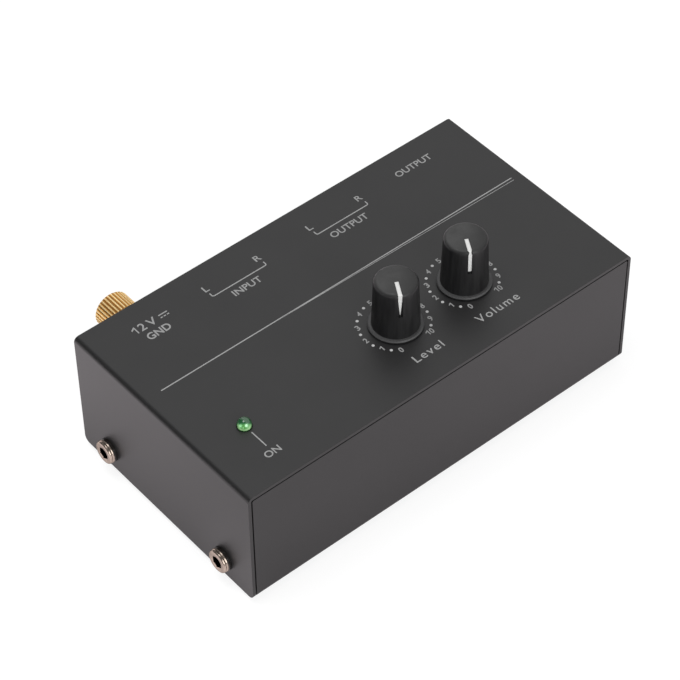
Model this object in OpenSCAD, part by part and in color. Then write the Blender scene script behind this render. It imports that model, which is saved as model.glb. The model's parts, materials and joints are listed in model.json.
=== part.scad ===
// Desktop phono preamp: a bent steel cover over a bent base, two turning
// controls and an indicator lamp on top, phono sockets and a ground post behind.
// X runs along the front, Y to the rear, Z up. The origin lies under the middle
// of the whole part, on the surface that its feet stand on.

/* [Case] */
// Outside width of the cover
case_w = 136; // [132:1:180]
// Outside depth of the case, front to rear
case_d = 75; // [72:1:110]
// Height of the case, without its feet
case_h = 41.2; // [38:0.2:60]
// Thickness of the bent sheet
sheet_t = 1; // [0.8:0.1:1.2]
// Outside radius of the cover's two long bends
cover_bend_r = 1.6; // [1.4:0.1:3]
// Outside radius of the base's bends
base_bend_r = 2; // [1.6:0.1:3]
// Rounding of the cover's lower corners
wall_corner_r = 2; // [1:0.5:5]
// Dark gap between the panels and the cover
panel_gap = 0.4; // [0.2:0.1:0.8]

/* [Cover screws] */
// Distance between the two screws of one end
screw_pitch = 50.4; // [40:0.2:54]
// Height of the screws above the case's underside
screw_z = 6.4; // [6:0.1:12]
// Diameter of the screw's shank
screw_d = 3.9; // [2.9:0.1:5]
// Length of the screw under its head
screw_len = 6; // [5:0.5:6.5]
// Diameter of the screw's head
screw_head_d = 7.3; // [6:0.1:9]
// Height of the screw's head
screw_head_h = 1.5; // [1.2:0.1:3]
// Width across the flats of the screw's socket
socket_af = 3.4; // [2:0.1:4]
// Thickness of the washer under the head
screw_washer_t = 0.9; // [0.5:0.1:1.5]
// Height of the base's threaded end tabs
tab_h = 14; // [12:0.5:20]
// Width of each end tab
tab_w = 14; // [10:0.5:18]
// Thickness of the threaded insert behind each tab
insert_t = 2; // [1:0.1:2.5]

/* [Feet] */
// Height of the rubber feet
foot_h = 2; // [1:0.5:6]
// Diameter of the rubber feet
foot_d = 8; // [6:0.5:12]
// Distance of a foot's centre from the case's sides
foot_inset = 9; // [8:0.5:14]

/* [Circuit board] */
// Height of the board's standoffs
standoff_h = 5; // [4:0.5:7]
// Width across the flats of a standoff
standoff_af = 5; // [4.5:0.5:6]
// Thickness of the circuit boards
pcb_t = 1.6; // [1.2:0.1:2]
// Gap between the board's ends and the cover
pcb_end_gap = 6; // [5:0.5:8]
// Gap between the board and the front and rear panels
pcb_gap = 0.5; // [0.3:0.1:1]
// Distance of a board screw from the board's edges
pcb_hole_inset = 3.4; // [3:0.2:4]
// Diameter of the board screws
pcb_screw_d = 2.5; // [2:0.5:3]

/* [Controls] */
// Distance of the control shafts from the case's front
control_front = 22.4; // [21:0.1:30]
// Place of the level control along the front, from the middle
level_x = 1.2; // [-5:0.1:5]
// Distance between the two controls
control_pitch = 24.9; // [22:0.1:30]
// Height of the potentiometers' bodies
pot_h = 8.5; // [7.5:0.5:11]
// Width of the potentiometers' bodies
pot_w = 11; // [10.5:0.5:13]
// Diameter of the threaded bushings
bushing_d = 7; // [6.6:0.1:7.4]
// Height of the bushings above the inside of the cover
bushing_h = 5.5; // [4.5:0.5:6]
// Diameter of the shafts where they carry the knobs
shaft_d = 6; // [5.6:0.1:6.3]
// Width across the flats of the bushing nuts
pot_nut_af = 10; // [9:0.5:10]
// Thickness of the bushing nuts
pot_nut_t = 2; // [1.5:0.1:2.5]
// Reach of the board under the controls beyond each control's axis
control_board_side = 9.5; // [8:0.5:14]
// Depth of the board under the controls
control_board_d = 22; // [18:1:26]

/* [Knobs] */
// Height of a knob's top above the cover
knob_top = 17.2; // [15:0.1:22]
// Gap between a knob and the cover
knob_gap = 0.3; // [0.2:0.1:1.5]
// Diameter of the skirt at the foot of a knob
knob_skirt_d = 15.5; // [15:0.1:18]
// Thickness of the skirt
knob_skirt_t = 0.8; // [0.6:0.1:1.5]
// Diameter of a knob just above its skirt
knob_base_d = 13.5; // [13.4:0.1:14.5]
// Diameter of a knob at its top
knob_top_d = 12.4; // [11:0.1:13]
// Rounding of a knob's top edge
knob_edge_r = 1.2; // [0.5:0.1:2]
// Width of the pointer groove
pointer_w = 1.2; // [0.8:0.1:2]
// Depth of the pointer groove
pointer_t = 0.3; // [0.2:0.1:0.5]
// Radius where the pointer groove starts on the knob's top
pointer_start = 0.6; // [0.5:0.1:3]
// Length of the pointer groove down the knob's side
pointer_drop = 8; // [3:0.5:10]
// Angle of both pointers at their lowest setting, from the X axis
pointer_angle = 240; // [200:5:270]

/* [Lamp] */
// Distance of the lamp from the case's left end
lamp_side = 15.3; // [12:0.1:25]
// Distance of the lamp from the case's front
lamp_front = 20.5; // [15:0.1:30]
// Diameter of the lamp's lens
lamp_d = 4.2; // [2.9:0.1:5]
// Height of the lens above the cover
lamp_out = 2.7; // [1.5:0.1:4]
// Gap round the lens in the cover's hole
lamp_gap = 0.1; // [0.1:0.05:0.5]

/* [Phono sockets] */
// Distance between the left and right socket of a pair
phono_pitch = 18.4; // [15:0.1:20]
// Height of the phono sockets above the board
phono_rise = 10.4; // [8.5:0.1:12]
// Diameter of a socket's outer sleeve
phono_sleeve_d = 8.3; // [8.1:0.05:8.5]
// Inside diameter of a socket's centre contact
phono_bore_d = 3.2; // [3.1:0.05:3.4]
// Length of the sleeves behind the rear panel
phono_out = 9.5; // [8:0.5:11]
// Diameter of a socket's coloured ring
phono_ring_d = 10; // [9.6:0.1:11]
// Depth of the socket blocks inside the case
phono_block_d = 10; // [9:0.5:14]

/* [Large jack] */
// Distance of the large jack from the case's right end
jack_side = 21.8; // [21:0.1:23]
// Height of the large jack above the board
jack_rise = 9; // [8:0.5:11]
// Bore of the large jack
jack_bore_d = 6.4; // [6.35:0.05:6.5]
// Diameter of the large jack's threaded bushing
jack_bushing_d = 9; // [8.4:0.1:10]
// Length of the bushing behind the rear panel
jack_out = 4.5; // [4:0.5:7]
// Width of the large jack's body
jack_body_w = 16; // [14:0.5:17]
// Depth of the large jack's body
jack_body_d = 22; // [20:0.5:26]
// Height of the large jack's body above its axis
jack_over = 8; // [7:0.5:10]
// Width across the flats of the large jack's nut
jack_nut_af = 12; // [11:0.5:13]

/* [Power socket] */
// Height of the power socket above the board
power_rise = 6.5; // [6:0.1:7]
// Diameter of the power socket's centre pin
power_pin_d = 2.1; // [1.9:0.1:2.5]
// Diameter of the power socket's mouth
power_mouth_d = 6.3; // [5.8:0.1:6.6]
// Depth of the power socket's mouth
power_mouth_depth = 9.5; // [8:0.5:10.5]
// Width of the power socket's body
power_body_w = 9; // [8.8:0.1:10]
// Height of the power socket's body above its axis
power_over = 4.5; // [4:0.1:5.5]
// Depth of the power socket's body inside the case
power_body_d = 14; // [12:0.5:18]

/* [Ground post] */
// Distance of the ground post and the power socket from the case's left end
post_side = 20; // [19.5:0.1:21]
// Distance of the ground post below the case's top
post_drop = 10.4; // [9:0.1:12]
// Diameter of the ground post's stud
stud_d = 3.9; // [2.9:0.1:4.9]
// Distance from the rear panel to the end of the stud
rear_reach = 11.5; // [10:0.5:16]
// Diameter of the knurled thumb nut
thumb_nut_d = 11.1; // [9:0.1:12]
// Number of ridges round the thumb nut
thumb_nut_ridges = 32; // [24:1:48]
// Depth of the thumb nut's knurl
knurl_t = 0.5; // [0.2:0.05:0.6]
// Width across the flats of the hexagon nut that holds the stud
post_nut_af = 7; // [6.5:0.5:8]
// Thickness of the hexagon nut
post_nut_t = 2.4; // [1.6:0.1:3]

/* [Hidden] */
$fn = 96;

// Clearances
thread_gap = 0.05; // between a thread and its nut
run_gap = 0.05; // between a turning shaft and its bushing
fit_gap = 0.05; // between parts that are pushed together
hole_gap = 0.15; // between a part and the hole that it passes
wiper_gap = 0.2; // round the wiper in its housing

// Case frame: the origin in the middle of the case's underside
case_y = -rear_reach / 2;
inner_w = case_w - 2 * sheet_t;
panel_w = inner_w - 2 * panel_gap;
panel_h = case_h - sheet_t - panel_gap;
rear_out = case_d / 2;
rear_in = rear_out - sheet_t;
lid_in = case_h - sheet_t;

// Screws and feet
screw_hole_d = screw_d + 2 * hole_gap;
screw_thread_d = screw_d + 2 * thread_gap;
socket_depth = screw_head_h * 0.75;
edge_chamfer = 0.35;
foot_chamfer = 0.5;

// Main board
pcb_z = sheet_t + standoff_h;
pcb_top = pcb_z + pcb_t;
pcb_w = inner_w - 2 * pcb_end_gap;
pcb_d = case_d - 2 * (sheet_t + pcb_gap);
spigot_d = standoff_af - 1;
pcb_screw_head_d = 2 * pcb_screw_d;
pcb_screw_head_h = 1.6;
pcb_screw_len = pcb_t + standoff_h - 1.5;
pcb_slot_len = 2.8;
pcb_slot_w = 0.6;
pcb_slot_depth = 0.8;

// Controls
control_y = control_front - case_d / 2;
volume_x = level_x + control_pitch;
pot_z = lid_in - pot_h;
control_board_w = control_pitch + 2 * control_board_side;
control_board_z = pot_z - pcb_t;
pot_floor = 1.3;
pot_roof = 2.2;
cavity_d = pot_w - 1.8;
cavity_top = lid_in - pot_roof;
shaft_low_d = shaft_d - 1;
bushing_low = lid_in - 1.2;
bushing_top = lid_in + bushing_h;
pot_washer_t = 0.5;
pot_washer_d = pot_nut_af + 0.5;
wiper_t = 1.5;
wiper_z = cavity_top - 1.5 - wiper_t;
brush_r = cavity_d / 2 - 1.2;
terminal_pitch = 2.5;

// Knobs
knob_z = case_h + knob_gap;
knob_h = knob_top - knob_gap;
knob_hollow_d = pot_nut_af / cos(30) + 0.65;
knob_hollow_h = bushing_top + 0.4 - knob_z;
knob_bore_h = 8;
shaft_len = knob_hollow_h + knob_bore_h - 0.3;
hub_d = shaft_d + 2.6;
hub_slot_d = knob_top_d - 1.8;
edge_steps = 6;
skirt_chamfer = 0.3;

// Sheet blades of all the contacts
blade_t = 0.8;

// Places along the rear
jack_x = case_w / 2 - jack_side;
post_x = post_side - case_w / 2;
lug_reach = 6.2;
wire_d = 1.4;
wire_x = post_x + lug_reach;

// Lamp
lamp_x = lamp_side - case_w / 2;
lamp_y = lamp_front - case_d / 2;
lamp_hole_d = lamp_d + 2 * lamp_gap;
lamp_flange_d = lamp_d + 0.9;
lamp_flange_t = 1;
lamp_low = lid_in - 3;
lead_pitch = 2;
lead_d = 0.6;

// Phono sockets, spread evenly between the ground wire and the large jack
phono_z = pcb_top + phono_rise;
block_side = 1.25;
phono_block_w = phono_pitch + phono_ring_d + 2 * block_side;
phono_block_top = phono_z + phono_ring_d / 2 + block_side;
block_gap = (jack_x - jack_body_w / 2 - blade_t - wire_x - wire_d / 2 - 2 * phono_block_w) / 3;
input_x = wire_x + wire_d / 2 + block_gap + phono_block_w / 2;
output_x = input_x + phono_block_w + block_gap;
ring_out = 1.5;
ring_floor = 2;
block_wall = 1.5;
contact_recess = 3;
contact_blade_w = 2;
contact_floor = 1;
contact_d = phono_bore_d + 1;
contact_tail_d = 1.6;
sleeve_t = 0.6;
sleeve_step = 0.3;
block_front = rear_in - phono_block_d;
insert_low = block_front + block_wall;
sleeve_low = insert_low + ring_floor;
ring_end = rear_out + ring_out;
sleeve_end = rear_out + phono_out;
contact_end = sleeve_end - contact_recess;

// Large jack
jack_z = pcb_top + jack_rise;
jack_body_h = jack_rise + jack_over;
jack_seat = 4.5;
jack_back_wall = 2;
jack_nut_t = 2;
jack_washer_t = 0.6;
jack_washer_d = jack_nut_af + 1;
jack_chamfer = 0.4;
jack_blade_w = 2.4;
jack_blade_h = 5;
jack_blade_pitch = 8;

// Power socket
power_z = pcb_top + power_rise;
power_body_h = power_rise + power_over;
power_nose_d = power_body_w - 0.4;
power_back = rear_in - power_body_d;
power_floor = rear_out - power_mouth_depth;
power_tail_d = 1.6;
power_blade_w = 3;
power_blade_back = 4;

// Ground post, counted outwards from the rear panel
post_z = case_h - post_drop;
lug_t = 0.5;
lug_d = 7.2;
lug_w = 3;
stud_head_d = 7;
stud_head_t = 2;
lock_washer_t = 0.6;
lock_washer_d = post_nut_af;
clamp_washer_t = 0.8;
clamp_washer_d = 9;
hex_nut_y = rear_out + lock_washer_t;
clamp_y = hex_nut_y + post_nut_t;
thumb_y = clamp_y + clamp_washer_t;
thumb_len = rear_out + rear_reach - thumb_y;
thumb_chamfer = 0.6;

// Parts on the main board, in rows from the front edge to the socket blocks
header_size = [12, 5, 6];
chip_gap = 2.4;
chip_size = [9.6, 6.4, 3.4];
chip_count = 2;
chip_x = -20;
chip_pitch = 26;
chip_y = control_y + (header_size[1] + chip_size[1]) / 2 + chip_gap;
chip_leg_pitch = 2.54;
cap_gap = 3.8;
cap_d = 8;
cap_h = 11.5;
cap_pitch = 11;
cap_count = 3;
cap_x = post_x + 1;
cap_y = chip_y + (chip_size[1] + cap_d) / 2 + cap_gap;
film_gap = 5.3;
film_size = [10, 4.4, 9];
film_pitch = 13;
film_count = 4;
film_x = -28;
film_y = block_front - blade_t - film_size[1] - film_gap;
resistor_front = 12;
resistor_d = 2.2;
resistor_len = 6;
resistor_count = 8;
resistor_pitch = 5;
resistor_x = -40;
resistor_y = resistor_front - pcb_d / 2;
ribbon_w = 10;
ribbon_t = 0.9;
ribbon_bow = 5;
ribbon_steps = 12;
header_x = level_x + control_pitch / 2;

case_black = "#303032";
knob_black = "#1c1c1e";
plated = "#b3a595";
steel = "#b9bcc0";
gold = "#c79a3c";
board_green = "#1f5a37";

// ---- placing ----

module in_case() {
    translate([0, case_y, foot_h]) children();
}

// Local +Z becomes +Y, so the shape points out of the rear
module rearward(x, y, z) {
    translate([x, y, z]) rotate([-90, 0, 0]) children();
}

// Local +Z points out of each end, at the four cover screws
module at_screws(out) {
    for (side = [-1, 1]) {
        for (row = [-1, 1]) {
            translate([side * out, row * screw_pitch / 2, screw_z])
                rotate([0, side * 90, 0]) children();
        }
    }
}

module at_corners(x, y, z) {
    for (side = [-1, 1]) {
        for (row = [-1, 1]) {
            translate([side * x, row * y, z]) children();
        }
    }
}

// ---- shared shapes ----

// Upright outline with both upper corners rounded
module arch_outline(w, h, r) {
    translate([-w / 2, 0]) square([w, h - r]);
    translate([r - w / 2, 0]) square([w - 2 * r, h]);
    for (side = [-1, 1]) {
        translate([side * (w / 2 - r), h - r]) circle(r);
    }
}

// Upright outline with both lower corners rounded
module trough_outline(w, h, r) {
    translate([0, h]) mirror([0, 1]) arch_outline(w, h, r);
}

// Sheet bent up along two edges
module bent_outline(w, h, r) {
    difference() {
        trough_outline(w, h, r);
        translate([0, sheet_t]) trough_outline(w - 2 * sheet_t, h, r - sheet_t);
    }
}

// Outline in X and Z, drawn out along Y
module along_y(length) {
    translate([0, length / 2, 0]) rotate([90, 0, 0]) linear_extrude(length) children();
}

// Outline in Y and Z, drawn out along X
module along_x(length) {
    translate([-length / 2, 0, 0]) rotate([90, 0, 90]) linear_extrude(length) children();
}

module tube(outer_d, inner_d, h) {
    difference() {
        cylinder(d = outer_d, h = h);
        translate([0, 0, -1]) cylinder(d = inner_d, h = h + 2);
    }
}

module hex_nut(af, bore_d, h) {
    difference() {
        cylinder(d = af / cos(30), h = h, $fn = 6);
        translate([0, 0, -1]) cylinder(d = bore_d, h = h + 2);
    }
}

// Disc with a chamfer on its outer edge
module chamfered_disc(d, h, chamfer) {
    cylinder(d = d, h = h - chamfer);
    translate([0, 0, h - chamfer]) cylinder(d1 = d, d2 = d - 2 * chamfer, h = chamfer);
}

// ---- case ----

module top_cover() {
    color(case_black) in_case() difference() {
        intersection() {
            along_y(case_d) difference() {
                arch_outline(case_w, case_h, cover_bend_r);
                translate([0, -1])
                    arch_outline(inner_w, lid_in + 1, cover_bend_r - sheet_t);
            }
            along_x(case_w + 2) trough_outline(case_d, case_h + 1, wall_corner_r);
        }
        for (x = [level_x, volume_x]) {
            translate([x, control_y, lid_in - 1])
                cylinder(d = bushing_d + 2 * hole_gap, h = sheet_t + 2);
        }
        translate([lamp_x, lamp_y, lid_in - 1]) cylinder(d = lamp_hole_d, h = sheet_t + 2);
        at_screws(inner_w / 2 - 1) cylinder(d = screw_hole_d, h = sheet_t + 2);
    }
}

module panel_hole(x, z, d) {
    rearward(x, rear_in - 1, z) cylinder(d = d + 2 * hole_gap, h = sheet_t + 2);
}

module base_chassis() {
    color(case_black) in_case() difference() {
        union() {
            intersection() {
                along_x(panel_w) bent_outline(case_d, panel_h, base_bend_r);
                along_y(case_d + 2) arch_outline(panel_w, panel_h, cover_bend_r - sheet_t);
            }
            for (row = [-1, 1]) {
                translate([0, row * screw_pitch / 2, 0])
                    along_y(tab_w) bent_outline(inner_w, tab_h, base_bend_r);
            }
        }
        at_screws(inner_w / 2 - sheet_t - 1) cylinder(d = screw_thread_d, h = sheet_t + 2);
        at_corners(pcb_w / 2 - pcb_hole_inset, pcb_d / 2 - pcb_hole_inset, -1)
            cylinder(d = spigot_d + 2 * fit_gap, h = sheet_t + 2);
        for (x = [input_x, output_x]) {
            for (side = [-1, 1]) {
                panel_hole(x + side * phono_pitch / 2, phono_z, phono_ring_d);
            }
        }
        panel_hole(jack_x, jack_z, jack_bushing_d);
        panel_hole(post_x, power_z, power_nose_d);
        panel_hole(post_x, post_z, stud_d);
    }
}

module threaded_inserts() {
    color(steel) in_case() at_screws(inner_w / 2 - sheet_t - insert_t)
        tube(screw_head_d, screw_thread_d, insert_t);
}

module cover_screws() {
    color(plated) in_case() at_screws(case_w / 2 + screw_washer_t) difference() {
        union() {
            chamfered_disc(screw_head_d, screw_head_h, edge_chamfer);
            translate([0, 0, -screw_len]) cylinder(d = screw_d, h = screw_len);
        }
        translate([0, 0, screw_head_h - socket_depth])
            cylinder(d = socket_af / cos(30), h = socket_depth + 1, $fn = 6);
    }
}

module screw_washers() {
    color(plated) in_case() at_screws(case_w / 2) difference() {
        chamfered_disc(screw_head_d, screw_washer_t, edge_chamfer / 2);
        translate([0, 0, -1]) cylinder(d = screw_hole_d, h = screw_washer_t + 2);
    }
}

module rubber_feet() {
    color("#151515") in_case()
        at_corners(case_w / 2 - foot_inset, case_d / 2 - foot_inset, -foot_h) {
            cylinder(d1 = foot_d - 2 * foot_chamfer, d2 = foot_d, h = foot_chamfer);
            translate([0, 0, foot_chamfer]) cylinder(d = foot_d, h = foot_h - foot_chamfer);
        }
}

// ---- boards ----

module at_standoffs(z) {
    at_corners(pcb_w / 2 - pcb_hole_inset, pcb_d / 2 - pcb_hole_inset, z) children();
}

module pcb_standoffs() {
    color(steel) in_case() at_standoffs(0) difference() {
        union() {
            cylinder(d = spigot_d, h = sheet_t);
            translate([0, 0, sheet_t])
                cylinder(d = standoff_af / cos(30), h = standoff_h, $fn = 6);
        }
        translate([0, 0, sheet_t + 1])
            cylinder(d = pcb_screw_d + 2 * thread_gap, h = standoff_h);
    }
}

module pcb_screws() {
    color(steel) in_case() at_standoffs(pcb_top) difference() {
        union() {
            chamfered_disc(pcb_screw_head_d, pcb_screw_head_h, edge_chamfer);
            translate([0, 0, -pcb_screw_len]) cylinder(d = pcb_screw_d, h = pcb_screw_len);
        }
        for (turn = [0, 90]) {
            rotate([0, 0, turn])
                translate([-pcb_slot_len / 2, -pcb_slot_w / 2, pcb_screw_head_h - pcb_slot_depth])
                cube([pcb_slot_len, pcb_slot_w, pcb_slot_depth + 1]);
        }
    }
}

module main_pcb() {
    color(board_green) in_case() difference() {
        translate([-pcb_w / 2, -pcb_d / 2, pcb_z]) cube([pcb_w, pcb_d, pcb_t]);
        at_standoffs(pcb_z - 1) cylinder(d = pcb_screw_d + 2 * hole_gap, h = pcb_t + 2);
    }
}

module control_board() {
    color(board_green) in_case()
        translate([header_x - control_board_w / 2, control_y - control_board_d / 2,
            control_board_z])
            cube([control_board_w, control_board_d, pcb_t]);
}

module header_sockets() {
    color("#e8e4d8") in_case() {
        for (z = [pcb_top, control_board_z - header_size[2]]) {
            translate([header_x - header_size[0] / 2, control_y - header_size[1] / 2, z])
                cube(header_size);
        }
    }
}

// The flat cable bows to the front between its two sockets
module ribbon_cable() {
    low = pcb_top + header_size[2];
    rise = control_board_z - header_size[2] - low;
    path = [for (i = [0:ribbon_steps])
        [-ribbon_bow * pow(sin(180 * i / ribbon_steps), 2), low + rise * i / ribbon_steps]];
    near = [for (p = path) [p[0] - ribbon_t / 2, p[1]]];
    far = [for (i = [ribbon_steps:-1:0]) [path[i][0] + ribbon_t / 2, path[i][1]]];
    color("#8d8f94") in_case() translate([header_x, control_y, 0])
        along_x(ribbon_w) polygon(concat(near, far));
}

// ---- power socket ----

module power_socket() {
    color("#1d1d1f") in_case() difference() {
        union() {
            translate([post_x - power_body_w / 2, power_back, pcb_top])
                cube([power_body_w, power_body_d, power_body_h]);
            rearward(post_x, rear_in - 1, power_z) cylinder(d = power_nose_d, h = sheet_t + 1);
        }
        rearward(post_x, power_floor, power_z)
            cylinder(d = power_mouth_d, h = power_mouth_depth + 1);
        rearward(post_x, power_back - 1, power_z)
            cylinder(d = power_tail_d + 2 * fit_gap, h = power_body_d);
    }
}

module power_pin() {
    pin_len = power_mouth_depth - 1;
    color(steel) in_case() {
        rearward(post_x, power_floor, power_z)
            chamfered_disc(power_pin_d, pin_len, edge_chamfer);
        rearward(post_x, power_back, power_z)
            cylinder(d = power_tail_d, h = power_floor - power_back);
    }
}

// The centre blade behind the socket and the sleeve blade beside it
module power_contacts() {
    color(steel) in_case() {
        translate([post_x - power_blade_w / 2, power_back - blade_t, pcb_top])
            cube([power_blade_w, blade_t, power_rise + power_blade_w / 2]);
        translate([post_x + power_body_w / 2, power_back + power_blade_back, pcb_top])
            cube([blade_t, power_blade_w, power_rise]);
    }
}

// ---- phono sockets ----

module at_pair(x, y) {
    for (side = [-1, 1]) {
        rearward(x + side * phono_pitch / 2, y, phono_z) children();
    }
}

module phono_block(x) {
    color("#1d1d1f") in_case() difference() {
        translate([x - phono_block_w / 2, block_front, pcb_top])
            cube([phono_block_w, phono_block_d, phono_block_top - pcb_top]);
        at_pair(x, insert_low) cylinder(d = phono_ring_d + 2 * fit_gap, h = phono_block_d);
        at_pair(x, block_front - 1)
            cylinder(d = contact_tail_d + 2 * fit_gap, h = phono_block_d);
    }
}

module phono_sleeves(x) {
    bore = phono_sleeve_d - 2 * sleeve_t;
    seat = ring_end - sleeve_low;
    length = sleeve_end - sleeve_low;
    color(steel) in_case() at_pair(x, sleeve_low) difference() {
        union() {
            cylinder(d = phono_sleeve_d - 2 * sleeve_step, h = seat);
            translate([0, 0, seat])
                chamfered_disc(phono_sleeve_d, length - seat, sleeve_step);
        }
        translate([0, 0, -1]) cylinder(d = bore, h = length + 2);
    }
}

// Coloured insulator: a ring round the sleeve's foot and a bush inside it
module phono_insert(x, side, paint) {
    height = ring_end - insert_low;
    inner_h = contact_end - insert_low;
    groove_in = phono_sleeve_d - 2 * sleeve_t - 2 * fit_gap;
    groove_out = phono_sleeve_d - 2 * sleeve_step + 2 * fit_gap;
    color(paint) in_case() rearward(x + side * phono_pitch / 2, insert_low, phono_z)
        difference() {
            union() {
                cylinder(d = phono_ring_d, h = ring_floor);
                tube(phono_ring_d, groove_out, height);
                cylinder(d = groove_in, h = inner_h);
            }
            translate([0, 0, ring_floor])
                cylinder(d = contact_d + 2 * fit_gap, h = inner_h);
            translate([0, 0, -1])
                cylinder(d = contact_tail_d + 2 * fit_gap, h = inner_h);
        }
}

module phono_contacts(x) {
    length = contact_end - sleeve_low;
    tail = sleeve_low - block_front;
    color(gold) in_case() {
        at_pair(x, sleeve_low) difference() {
            cylinder(d = contact_d, h = length);
            translate([0, 0, contact_floor]) cylinder(d = phono_bore_d, h = length);
        }
        at_pair(x, block_front) cylinder(d = contact_tail_d, h = tail);
        for (side = [-1, 1]) {
            translate([x + side * phono_pitch / 2 - contact_blade_w / 2,
                block_front - blade_t, pcb_top])
                cube([contact_blade_w, blade_t, phono_rise + contact_tail_d / 2]);
        }
    }
}

module input_block() {
    phono_block(input_x);
}

module input_sleeves() {
    phono_sleeves(input_x);
}

module input_left_insert() {
    phono_insert(input_x, -1, "#e6e4de");
}

module input_right_insert() {
    phono_insert(input_x, 1, "#b3201f");
}

module input_contacts() {
    phono_contacts(input_x);
}

module output_block() {
    phono_block(output_x);
}

module output_sleeves() {
    phono_sleeves(output_x);
}

module output_left_insert() {
    phono_insert(output_x, -1, "#e6e4de");
}

module output_right_insert() {
    phono_insert(output_x, 1, "#b3201f");
}

module output_contacts() {
    phono_contacts(output_x);
}

// ---- large jack ----

module jack_body() {
    color("#1d1d1f") in_case() difference() {
        translate([jack_x - jack_body_w / 2, rear_in - jack_body_d, pcb_top])
            cube([jack_body_w, jack_body_d, jack_body_h]);
        rearward(jack_x, rear_in - jack_seat, jack_z)
            cylinder(d = jack_bushing_d + 2 * fit_gap, h = jack_seat + 1);
        rearward(jack_x, rear_in - jack_body_d + jack_back_wall, jack_z)
            cylinder(d = jack_bore_d + 0.6, h = jack_body_d);
    }
}

module jack_bushing() {
    length = jack_seat + sheet_t + jack_out;
    color(steel) in_case() rearward(jack_x, rear_in - jack_seat, jack_z) difference() {
        chamfered_disc(jack_bushing_d, length, jack_chamfer);
        translate([0, 0, -1]) cylinder(d = jack_bore_d, h = length + 2);
    }
}

module jack_washer() {
    color(steel) in_case() rearward(jack_x, rear_out, jack_z)
        tube(jack_washer_d, jack_bushing_d + 2 * hole_gap, jack_washer_t);
}

module jack_nut() {
    color(steel) in_case() rearward(jack_x, rear_out + jack_washer_t, jack_z)
        hex_nut(jack_nut_af, jack_bushing_d + 2 * thread_gap, jack_nut_t);
}

module jack_contacts() {
    color(steel) in_case() {
        for (side = [-1, 1]) {
            for (row = [1, 2]) {
                translate([jack_x + side * (jack_body_w + blade_t) / 2 - blade_t / 2,
                    rear_in - row * jack_blade_pitch, pcb_top])
                    cube([blade_t, jack_blade_w, jack_blade_h]);
            }
        }
    }
}

// ---- ground post ----

module post_stud() {
    color(gold) in_case() {
        rearward(post_x, rear_in - lug_t - stud_head_t, post_z)
            cylinder(d = stud_head_d, h = stud_head_t);
        rearward(post_x, rear_in - lug_t - stud_head_t, post_z)
            chamfered_disc(stud_d, stud_head_t + lug_t + sheet_t + rear_reach, edge_chamfer);
    }
}

module post_solder_lug() {
    color(steel) in_case() difference() {
        union() {
            rearward(post_x, rear_in - lug_t, post_z) cylinder(d = lug_d, h = lug_t);
            translate([post_x, rear_in - lug_t, post_z - lug_w / 2])
                cube([lug_reach + wire_d / 2, lug_t, lug_w]);
        }
        rearward(post_x, rear_in - lug_t - 1, post_z)
            cylinder(d = stud_d + 2 * hole_gap, h = lug_t + 2);
    }
}

module post_wire() {
    color("#2e6b3a") in_case()
        translate([wire_x, rear_in - lug_t - wire_d / 2 - fit_gap, pcb_top])
            cylinder(d = wire_d, h = post_z + lug_w / 2 - pcb_top);
}

module post_lock_washer() {
    color(gold) in_case() rearward(post_x, rear_out, post_z)
        tube(lock_washer_d, stud_d + 2 * hole_gap, lock_washer_t);
}

module post_hex_nut() {
    color(gold) in_case() rearward(post_x, hex_nut_y, post_z)
        hex_nut(post_nut_af, stud_d + 2 * thread_gap, post_nut_t);
}

module post_clamp_washer() {
    color(gold) in_case() rearward(post_x, clamp_y, post_z)
        tube(clamp_washer_d, stud_d + 2 * hole_gap, clamp_washer_t);
}

// Straight knurl: each ridge has a flat crest and a flat root
module knurl_outline(d, ridges, depth) {
    step = 360 / ridges;
    polygon([for (i = [0:ridges - 1], k = [0:3])
        let (r = d / 2 - (k < 2 ? 0 : depth), a = step * (i + [0, 0.3, 0.5, 0.8][k]))
            [r * cos(a), r * sin(a)]]);
}

module post_thumb_nut() {
    color(gold) in_case() rearward(post_x, thumb_y, post_z) difference() {
        intersection() {
            linear_extrude(thumb_len) knurl_outline(thumb_nut_d, thumb_nut_ridges, knurl_t);
            union() {
                cylinder(d1 = thumb_nut_d - 2 * thumb_chamfer, d2 = thumb_nut_d,
                    h = thumb_chamfer);
                translate([0, 0, thumb_chamfer])
                    chamfered_disc(thumb_nut_d, thumb_len - thumb_chamfer, thumb_chamfer);
            }
        }
        translate([0, 0, -1]) cylinder(d = stud_d + 2 * thread_gap, h = thumb_len + 2);
    }
}

// ---- controls ----

module at_control(x, z) {
    in_case() translate([x, control_y, z]) children();
}

module pot_body(x) {
    color("#23482f") at_control(x, pot_z) difference() {
        translate([-pot_w / 2, -pot_w / 2, 0]) cube([pot_w, pot_w, pot_h]);
        translate([0, 0, pot_floor]) cylinder(d = cavity_d, h = pot_h - pot_floor - pot_roof);
        translate([0, 0, pot_floor]) cylinder(d = shaft_low_d + 2 * hole_gap, h = pot_h);
        translate([0, 0, bushing_low - pot_z]) cylinder(d = bushing_d + 2 * fit_gap, h = pot_h);
    }
}

module pot_bushing(x) {
    color(steel) at_control(x, bushing_low)
        tube(bushing_d, shaft_low_d + 2 * run_gap, bushing_top - bushing_low);
}

module pot_washer(x) {
    color(steel) at_control(x, case_h)
        tube(pot_washer_d, bushing_d + 2 * hole_gap, pot_washer_t);
}

module pot_nut(x) {
    color(steel) at_control(x, case_h + pot_washer_t)
        hex_nut(pot_nut_af, bushing_d + 2 * thread_gap, pot_nut_t);
}

module pot_terminals(x) {
    color(steel) at_control(x, pot_z) {
        for (i = [-1, 0, 1]) {
            translate([i * terminal_pitch - 0.5, -pot_w / 2 - blade_t, 0])
                cube([1, blade_t, pot_h / 2]);
        }
    }
}

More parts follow.
